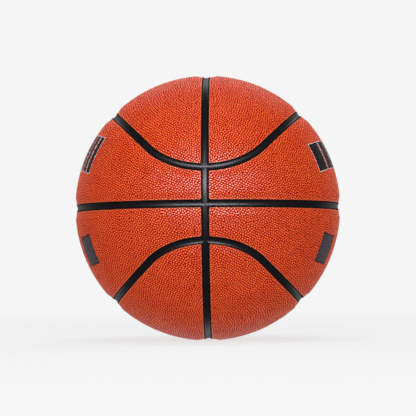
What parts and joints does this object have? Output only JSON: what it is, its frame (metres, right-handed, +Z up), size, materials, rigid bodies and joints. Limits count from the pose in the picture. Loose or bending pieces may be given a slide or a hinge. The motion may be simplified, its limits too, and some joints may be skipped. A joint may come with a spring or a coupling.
{
  "type": "basketball",
  "caption": "Full-size laminated basketball with pebbled orange panels, recessed black ribs in the seams, an inner wound carcass and bladder, and an inflation valve.",
  "frame": {"origin": "centre of the ball", "axes": "+Z up, +X to the right and +Y away from the viewer of the picture; the level seam lies in the XY plane, the upright seam in the YZ plane, and the two loops circle +Z and -Z"},
  "size_m": [0.2412, 0.2404, 0.2412],
  "materials": {
    "cover_composite": "pebbled orange composite with a low sheen",
    "sponge": "pale closed-cell sponge sheet",
    "seam_rubber": "satin black moulded rubber",
    "nylon_thread": "off-white thread set in latex",
    "butyl_rubber": "dull black butyl rubber",
    "valve_rubber": "smooth black rubber",
    "plug_rubber": "smooth black soft rubber"
  },
  "bodies": {
    "root": {"cap_panel_upper_left": "cover_composite", "cap_panel_upper_right": "cover_composite", "cap_panel_lower_left": "cover_composite", "cap_panel_lower_right": "cover_composite", "side_panel_upper_left": "cover_composite", "side_panel_upper_right": "cover_composite", "side_panel_lower_left": "cover_composite", "side_panel_lower_right": "cover_composite", "cap_backing_upper_left": "sponge", "cap_backing_upper_right": "sponge", "cap_backing_lower_left": "sponge", "cap_backing_lower_right": "sponge", "side_backing_upper_left": "sponge", "side_backing_upper_right": "sponge", "side_backing_lower_left": "sponge", "side_backing_lower_right": "sponge", "carcass": "seam_rubber", "nylon_winding": "nylon_thread", "bladder": "butyl_rubber", "valve_housing": "valve_rubber", "valve_plug": "plug_rubber"}
  },
  "joints": []
}
